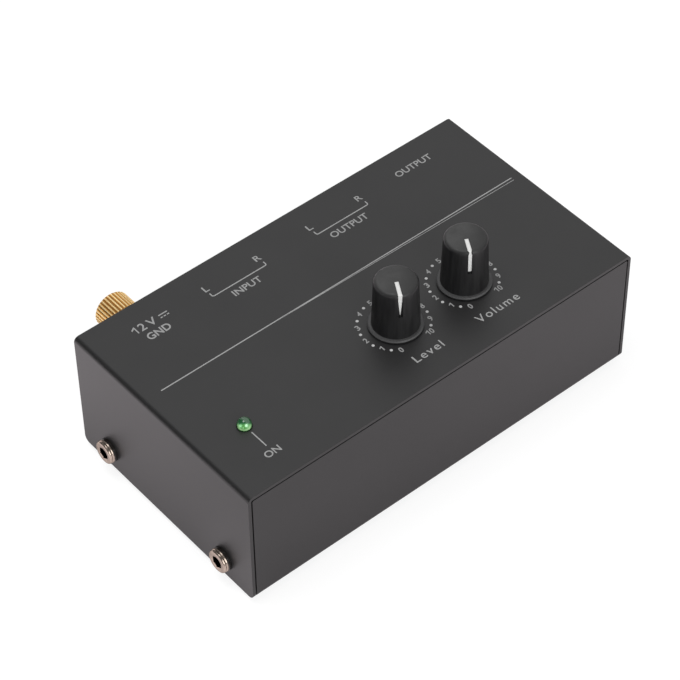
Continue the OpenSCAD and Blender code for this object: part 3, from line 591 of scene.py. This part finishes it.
def letters(bm, text, left, right, base, cap, weight=0.0, spacing=1.0):
    """A word whose ink runs from left to right on the lid, standing on base."""
    verts, faces = glyphs(text, weight, spacing)
    low = min(v.x for v in verts)
    wide = (right - left) / (max(v.x for v in verts) - low)
    tall = cap / CAP
    made = [bm.verts.new((left + (v.x - low) * wide, base + v.y * tall, INK_TOP)) for v in verts]
    skin = [bm.faces.new([made[i] for i in face]) for face in faces]
    sides = bmesh.ops.extrude_face_region(bm, geom=skin)
    for item in sides["geom"]:
        if isinstance(item, bmesh.types.BMVert):
            item.co.z = INK_LOW


def one(bm, right, base, cap, weight):
    """The numeral one with its flag, its stem ending at right."""
    stem, flag, top = 0.14 * cap + weight, 0.36 * cap, base + cap
    slab(bm, [(right - stem, base), (right, base), (right, top), (right - stem * 0.8, top),
              (right - stem - flag, base + 0.74 * cap), (right - stem - flag, base + 0.56 * cap),
              (right - stem, base + 0.76 * cap)], INK_LOW, INK_TOP)


def stroke(bm, points, width=LINE_W):
    """A printed line with mitred corners."""
    left, right = [], []
    for i, point in enumerate(points):
        here = Vector(point)
        before = (here - Vector(points[i - 1])).normalized() if i else None
        after = (Vector(points[i + 1]) - here).normalized() if i + 1 < len(points) else None
        along = ((before or after) + (after or before)).normalized()
        side = Vector((-along.y, along.x))
        reach = width / 2 / max(side.dot(Vector((-(after or before).y, (after or before).x))), 0.5)
        left.append(here + side * reach)
        right.append(here - side * reach)
    slab(bm, [(p.x, p.y) for p in left + right[::-1]][::-1], INK_LOW, INK_TOP)


def dial_numbers(bm, x):
    """The numbers 0 to 10 round a control."""
    wide, weight = 0.64 * DIGIT_H, 0.02
    for number in range(11):
        angle = math.radians(DIAL_START - DIAL_STEP * number)
        cx, cy = round_point(x, DIAL_Y, DIAL_R, angle)
        base = cy - DIGIT_H / 2
        if number == 1:
            one(bm, cx + 0.35 * DIGIT_H - 0.15, base, DIGIT_H, 0.1)
        elif number == 10:
            one(bm, cx + 0.1 * DIGIT_H - 0.15, base, DIGIT_H, 0.1)
            letters(bm, "0", cx + 0.35, cx + 0.35 + wide, base, DIGIT_H, weight)
        else:
            letters(bm, str(number), cx - wide / 2, cx + wide / 2, base, DIGIT_H, weight)


def dial_dots(bm, x):
    """A dot half way between each two numbers."""
    sides = 20
    for number in range(10):
        angle = math.radians(DIAL_START - DIAL_STEP * (number + 0.5))
        cx, cy = round_point(x, DIAL_Y, DIAL_R, angle)
        slab(bm, [round_point(cx, cy, DOT_R, 2 * math.pi * i / sides) for i in range(sides)],
             INK_LOW, INK_TOP)


def bracket(bm, left, right, y):
    """A line under a socket pair with both ends turned up towards the L and the R."""
    ends, corner = 1.5, 0.55
    points = [(left, y + ends)]
    for bend_x, start in ((left + corner, math.pi), (right - corner, 1.5 * math.pi)):
        points += [round_point(bend_x, y + corner, corner, start + i * math.pi / 8) for i in range(5)]
    stroke(bm, points + [(right, y + ends)])


def add_print(mats):
    """Words and lines where they stand on the real lid, front to rear from the case's middle."""
    def printed(name, ink, draw, *items, **options):
        bm = bmesh.new()
        for item in items:
            draw(bm, *item, **options)
        piece(name, bm, mats[ink])

    def word(bm, text, left, right, base, cap, weight, spacing=1.0):
        letters(bm, text, left, right, CASE_Y + base, cap, weight, spacing)

    def line(bm, *points, width=LINE_W):
        stroke(bm, [(x, CASE_Y + y) for x, y in points], width)

    # text, left, right, base, height of a capital, added weight, letter spacing
    printed("word_input", "ink_dim", word, ("INPUT", -24.95, -15.4, 21.3, 2.2, 0.012),
            ("L", -30.35, -28.8, 27.8, 2.2, 0.01), ("R", -12.4, -10.4, 27.95, 2.1, 0.01))
    printed("word_output", "ink_dim", word, ("OUTPUT", 9.8, 22.9, 21.2, 2.2, 0.012),
            ("L", 6.5, 8.1, 27.85, 2.1, 0.01), ("R", 24.5, 26.4, 28.0, 2.05, 0.01))
    printed("word_jack", "ink_dim", word, ("OUTPUT", 39.6, 52.6, 28.0, 2.15, 0.012))
    printed("word_ground", "ink_dim", word, ("GND", -52.7, -45.2, 23.35, 2.4, 0.02))
    printed("word_power", "ink_dim", word, ("2", -52.4, -50.5, 27.45, 2.7, 0.012),
            ("V", -49.6, -46.9, 27.45, 2.6, 0.012))
    printed("word_power_one", "ink_dim", one, (-53.25, CASE_Y + 27.45, 2.7, 0.0))
    printed("power_sign", "ink_grey", line, [(-45.57, 29.25), (-42.69, 29.25)],
            [(-45.57, 28.2), (-44.85, 28.2)], [(-44.5, 28.2), (-43.78, 28.2)],
            [(-43.42, 28.2), (-42.69, 28.2)])
    printed("word_on", "ink_dim", word, ("ON", -55.22, -50.32, -29.76, 2.15, 0.012))
    printed("lamp_leader", "ink_grey", line, [(-52.69, -20.0), (-52.69, -26.1)])
    printed("word_level", "ink_grey", word, ("Level", -3.75, 6.2, -29.6, 2.6, 0.004, 1.2))
    printed("word_volume", "ink_grey", word, ("Volume", 18.8, 33.6, -29.7, 2.65, 0.004, 1.2))
    printed("divider", "ink_grey", line, [(-61.7, 6.95), (63.9, 6.95)])
    printed("divider_hairline", "ink_grey", line, [(-20.0, 6.8), (63.9, 5.9)], width=HAIRLINE_W)
    printed("input_bracket", "ink_grey", bracket, (-29.8, -10.94, CASE_Y + 25.3))
    printed("output_bracket", "ink_grey", bracket, (7.2, 26.0, CASE_Y + 25.3))
    for name, x in DIAL_X.items():
        printed(f"{name}_numbers", "ink_dim", dial_numbers, (x,))
        printed(f"{name}_dots", "ink_bright", dial_dots, (x,))


# ---------------------------------------------------------------- knobs

POINTER_ANGLE = math.radians(240)  # at rest the controls point at their dial's 0
POINTER_START = 0.62  # from the knob's axis to the inner end of its groove
PAINT = (0.004, 0.06)  # underside and face of the paint, over the groove's floor
GROOVE_R = 5.877  # where the groove bends down over the knob's edge
GROOVE_Z = KNOB_TOP_Z - 0.3
POINTERS = {  # control: its axis, and (distance along the groove, width) of its paint
    "level": (LEVEL_X, [(0.0, 1.1), (5.2, 1.15), (7.0, 1.1), (12.4, 0.1)]),
    "volume": (VOLUME_X, [(0.0, 1.05), (4.4, 1.15), (5.25, 0.5), (6.4, 1.0), (12.3, 0.95)]),
}


def interpolate(pairs, s):
    """The value at s of a line through (place, value) pairs."""
    for (s0, w0), (s1, w1) in zip(pairs, pairs[1:]):
        if s <= s1:
            return w0 + (w1 - w0) * (s - s0) / (s1 - s0)
    return pairs[-1][1]


def pointer(name, x, widths, mats):
    """Paint in a knob's pointer groove: along its top, round its edge and down its side."""
    turn = Matrix.Translation((x, CONTROL_Y, 0)) @ Matrix.Rotation(POINTER_ANGLE, 4, "Z")
    bend, room = GROOVE_R - POINTER_START, 0.35

    def at(s, off):
        if s == bend:
            return Vector((GROOVE_R + off, 0, GROOVE_Z + off))
        if s < bend:
            return Vector((POINTER_START + s, 0, GROOVE_Z + off))
        return Vector((GROOVE_R + off, 0, GROOVE_Z - (s - bend)))

    bm = bmesh.new()
    rows = []
    for s in sorted([place for place, _ in widths] + [bend - room, bend, bend + room]):
        half = Vector((0, interpolate(widths, s) / 2, 0))
        rows.append([[bm.verts.new(turn @ (at(s, off) + half * side)) for side in (-1, 1)]
                     for off in PAINT])
    for near, far in zip(rows, rows[1:]):
        for layer in (0, 1):
            bm.faces.new((near[layer][0], near[layer][1], far[layer][1], far[layer][0]))
        for side in (0, 1):
            bm.faces.new((near[0][side], far[0][side], far[1][side], near[1][side]))
    for row in (rows[0], rows[-1]):
        bm.faces.new((row[0][0], row[0][1], row[1][1], row[1][0]))
    piece(f"{name}_pointer", bm, mats["pointer_white"], f"{name}_control")


# ---------------------------------------------------------------- jack and screws

# Half outline of a cover screw: (radius, height over the washer), from the shank's end over
# the head with its ring groove to the mouth of the socket
SCREW_OUTLINE = [
    (1.95, -5.9), (1.95, 0.02), (3.5, 0.02), (3.63, 0.07), (3.65, 0.18), (3.5, 0.62), (3.42, 0.7),
    (3.32, 0.74), (3.32, 0.8), (3.46, 0.86), (3.54, 0.94), (3.44, 1.26), (3.36, 1.38), (3.22, 1.47),
    (3.05, 1.5), (2.1, 1.5), (1.98, 1.47),
]
SOCKET_FLOOR = 0.3
TURN_STEPS = 72


def jack_thread(mats):
    """The large jack's bushing with its thread cut as rings, open through its bore."""
    crest, root, bore, pitch = 4.49, 4.15, 3.2, 0.75
    length, outside = 10.0, 4.5  # whole bushing, and its part behind the rear panel
    plain, chamfer, mouth = 5.6, 0.4, 0.25
    outline = [(bore, 0.0), (crest, 0.0)]
    z = plain
    while z + pitch < length - chamfer:
        outline += [(crest, z), (root, z + pitch / 2)]
        z += pitch
    outline += [(crest, z), (crest, length - chamfer), (crest - chamfer, length),
                (bore + mouth, length), (bore, length - mouth)]
    place = Matrix.Translation((JACK_X, REAR_Y + outside - length, JACK_Z))
    bm = bmesh.new()
    turned(bm, outline, TURN_STEPS, place @ Matrix.Rotation(-math.pi / 2, 4, "X"), capped=False)
    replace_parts(piece("jack_thread", bm, mats["nickel"]), "jack_bushing")


def screw_heads(mats):
    """Cover screws with a ring groove round a hexagon socket."""
    def hexagon(angle):
        return SOCKET_FLAT / math.cos(angle % (math.pi / 3) - math.pi / 6)

    rows = SCREW_OUTLINE + [(hexagon, SOCKET_RIM), (hexagon, SOCKET_FLOOR)]
    bm = bmesh.new()
    for side in (-1, 1):
        for row in (-1, 1):
            place = Matrix.Translation((side * SCREW_X, CASE_Y + row * SCREW_Y, SCREW_Z))
            outward = Matrix.Rotation(side * math.pi / 2, 4, "Y")
            turned(bm, rows, TURN_STEPS, place @ outward, capped=True)
    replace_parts(piece("screw_heads", bm, mats["screw_plate"]), "cover_screws")


# ---------------------------------------------------------------- CAD nodes

BEVELS = {  # width of the rounded edges
    "top_cover": 0.22, "base_chassis": 0.15, "rubber_feet": 0.15,
    "level_knob": 0.05, "volume_knob": 0.05, "post_thumb_nut": 0.04, "post_hex_nut": 0.12,
    "jack_nut": 0.15, "screw_washers": 0.06, "input_block": 0.25,
    "output_block": 0.25, "power_socket": 0.2, "jack_body": 0.3,
    "input_left_insert": 0.1, "input_right_insert": 0.1,
    "output_left_insert": 0.1, "output_right_insert": 0.1, "film_caps": 0.5,
    "amplifier_chips": 0.1, "header_sockets": 0.15,
}
BEVEL_ANGLE = math.radians(38)  # edges under this angle aren't rounded
WELD_GAP = 0.002

# Nodes whose look differs from the rest of their slot
LOOKS = {"screw_washers": "washer_black", "post_thumb_nut": "knurled_gold"}


def bevel(obj, width):
    """Welds a CAD node's faces and rounds its edges a little."""
    custom = obj.data.attributes.get("custom_normal")
    if custom:
        obj.data.attributes.remove(custom)
    obj.data.polygons.foreach_set("use_smooth", [True] * len(obj.data.polygons))
    weld = obj.modifiers.new("weld", "WELD")
    weld.merge_threshold = WELD_GAP * MM
    edge = obj.modifiers.new("edges", "BEVEL")
    edge.width = width * MM
    edge.segments = 2
    edge.limit_method = "ANGLE"
    edge.angle_limit = BEVEL_ANGLE
    edge.harden_normals = True
    edge.use_clamp_overlap = True


def dress_nodes(mats):
    slots = {s["node"]: s["material_slot"] for s in frame["record"]["subparts"]}
    for name, obj in frame["nodes"].items():
        obj.data.materials.clear()
        obj.data.materials.append(mats[LOOKS.get(name, slots[name])])
        if name in BEVELS:
            bevel(obj, BEVELS[name])


# ---------------------------------------------------------------- studio

CAMERA_PLACE = (-327.847, -396.217, 566.786)  # millimetres
CAMERA_AHEAD = (0.436271, 0.529184, -0.727759)
CAMERA_UP = (0.474258, 0.552099, 0.685759)
CAMERA_LENS = 141.754
CAMERA_SENSOR = 36.0
LIGHT_TARGET = (0, 0, 0.02)
LIGHTS = {  # place in metres, side in metres, watts, seen in reflections
    "key": ((-0.3, 0.2, 1.0), 0.6, 2.2, False),
    "top_box": ((-0.16, 0.08, 1.0), 0.4, 1.8, True),
    "front_box": ((-0.18, -0.92, 0.42), 0.66, 4.8, True),
}
SKY = 1.15  # brightness of the sky's pale side in reflections
FLOOR_HALF = 2.5  # metres
FLOOR_LOW = 0.62  # the floor's brightness in reflections, in front and at the left rear
FLOOR_HIGH = 1.38
MIRROR_SLOPE = 1.21  # how far rearward the left end mirrors the floor, for each step outward


def add_camera():
    camera = bpy.data.cameras.new("camera")
    camera.lens = CAMERA_LENS
    camera.sensor_width = CAMERA_SENSOR
    camera.clip_start, camera.clip_end = 0.01, 20.0
    obj = new_object("camera", camera)
    ahead = Vector(CAMERA_AHEAD).normalized()
    right = ahead.cross(Vector(CAMERA_UP)).normalized()
    turn = Matrix((right, right.cross(ahead), -ahead)).transposed()
    obj.matrix_world = Matrix.Translation(Vector(CAMERA_PLACE) * MM) @ turn.to_4x4()
    bpy.context.scene.camera = obj


def add_world():
    """White for the camera. Reflections see a wide pale sky on the right and dark on the left."""
    world = bpy.data.worlds.new("studio")
    bpy.context.scene.world = world
    world.use_nodes = True
    tree = world.node_tree
    background = tree.nodes["Background"]
    coord = tree.nodes.new("ShaderNodeTexCoord")
    x, _, z = axes_of(tree, coord.outputs["Generated"])
    pale = math_node(tree, "MULTIPLY", to_range(tree, z, 0.05, 0.45), to_range(tree, x, -0.15, 0.35))
    sky = to_range(tree, pale, 0.0, 1.0, 0.02, SKY)
    sky = math_node(tree, "MULTIPLY", sky, to_range(tree, x, 0.37, 0.50, 1.04, 0.78))
    strength = mix_value(tree, ray_kind(tree, "Is Glossy Ray"), 0.55, sky)
    strength = mix_value(tree, ray_kind(tree, "Is Camera Ray"), strength, 1.0)
    tree.links.new(strength, background.inputs["Strength"])
    background.inputs["Color"].default_value = (1, 1, 1, 1)


def floor_glow(tree):
    """How bright reflections see the floor."""
    place = object_place(tree)
    x, y, _ = axes_of(tree, place)
    along = vector_math(tree, "DOT_PRODUCT", place, (-0.707, 0.707, 0))
    level = to_range(tree, along, 10.0, 120.0, FLOOR_LOW, FLOOR_HIGH)
    level = math_node(tree, "ADD", level, to_range(tree, x, 0.0, 60.0, 0.0, 0.15))

    # Painted light in what the left end mirrors near its front: brighter close to the case, darker
    # further out
    outward = math_node(tree, "ADD", x, HALF_W)
    mirrored = math_node(tree, "ADD", y, math_node(tree, "MULTIPLY", outward, MIRROR_SLOPE))
    corner = math_node(tree, "MULTIPLY", to_range(tree, mirrored, -18.0, -46.0),
                       to_range(tree, outward, 4.0, -4.0))
    lift = to_range(tree, outward, -26.0, -8.0, -0.20, 0.62)
    level = math_node(tree, "ADD", level, math_node(tree, "MULTIPLY", corner, lift))

    # Painted shadow: darker beside the case
    beside = math_node(tree, "SUBTRACT", math_node(tree, "ABSOLUTE", x), HALF_W)
    ahead = math_node(tree, "SUBTRACT", y, CASE_Y)
    ahead = math_node(tree, "SUBTRACT", math_node(tree, "ABSOLUTE", ahead), HALF_D)
    clear = math_node(tree, "MAXIMUM", beside, ahead)
    return math_node(tree, "MULTIPLY", level, to_range(tree, clear, 3.0, 20.0, 0.76, 1.0))


def floor_material():
    """Pale floor that shows white to the camera. Reflections see it brighter at the left rear."""
    mat = bpy.data.materials.new("floor_white")
    mat.use_nodes = True
    tree = mat.node_tree
    tree.nodes.clear()
    out = tree.nodes.new("ShaderNodeOutputMaterial")
    plain = add(tree, "ShaderNodeBsdfDiffuse", Color=(0.8, 0.8, 0.8, 1))
    shade = add(tree, "ShaderNodeBsdfDiffuse", Color=(0.25, 0.25, 0.25, 1))
    glow = tree.nodes.new("ShaderNodeEmission")
    camera, glossy = ray_kind(tree, "Is Camera Ray"), ray_kind(tree, "Is Glossy Ray")
    feed(tree, glow, {"Strength": mix_value(tree, glossy, 0.82, floor_glow(tree)),
                      "Color": blend(tree, glossy, (1.0, 1.0, 1.0), (1.0, 0.915, 0.955))})
    both = tree.nodes.new("ShaderNodeAddShader")
    feed(tree, both, {0: shade.outputs[0], 1: glow.outputs[0]})
    mix = tree.nodes.new("ShaderNodeMixShader")
    feed(tree, mix, {0: math_node(tree, "MAXIMUM", camera, glossy), 1: plain.outputs[0],
                     2: both.outputs[0]})
    tree.links.new(mix.outputs[0], out.inputs["Surface"])
    return mat


def add_floor():
    bm = bmesh.new()
    corners = ((-1, -1), (1, -1), (1, 1), (-1, 1))
    bm.faces.new([bm.verts.new((x * FLOOR_HALF, y * FLOOR_HALF, 0)) for x, y in corners])
    mesh = bpy.data.meshes.new("floor")
    bm.to_mesh(mesh)
    bm.free()
    mesh.materials.append(floor_material())
    new_object("floor", mesh)


def add_lights():
    """A wide lamp that only lights, and two that also show in reflections."""
    for name, (place, side, power, mirrored) in LIGHTS.items():
        light = bpy.data.lights.new(name, "AREA")
        light.shape = "RECTANGLE"
        light.size = light.size_y = side
        light.energy = power
        obj = new_object(name, light)
        obj.location = place
        obj.rotation_mode = "QUATERNION"
        obj.rotation_quaternion = (Vector(LIGHT_TARGET) - Vector(place)).to_track_quat("-Z", "Y")
        obj.visible_glossy = mirrored


materials = make_materials()
dress_nodes(materials)
add_print(materials)
for control, (axis_x, paint_widths) in POINTERS.items():
    pointer(control, axis_x, paint_widths, materials)
jack_thread(materials)
screw_heads(materials)
add_camera()
add_world()
add_floor()
add_lights()
bpy.context.scene.view_settings.view_transform = "Standard"
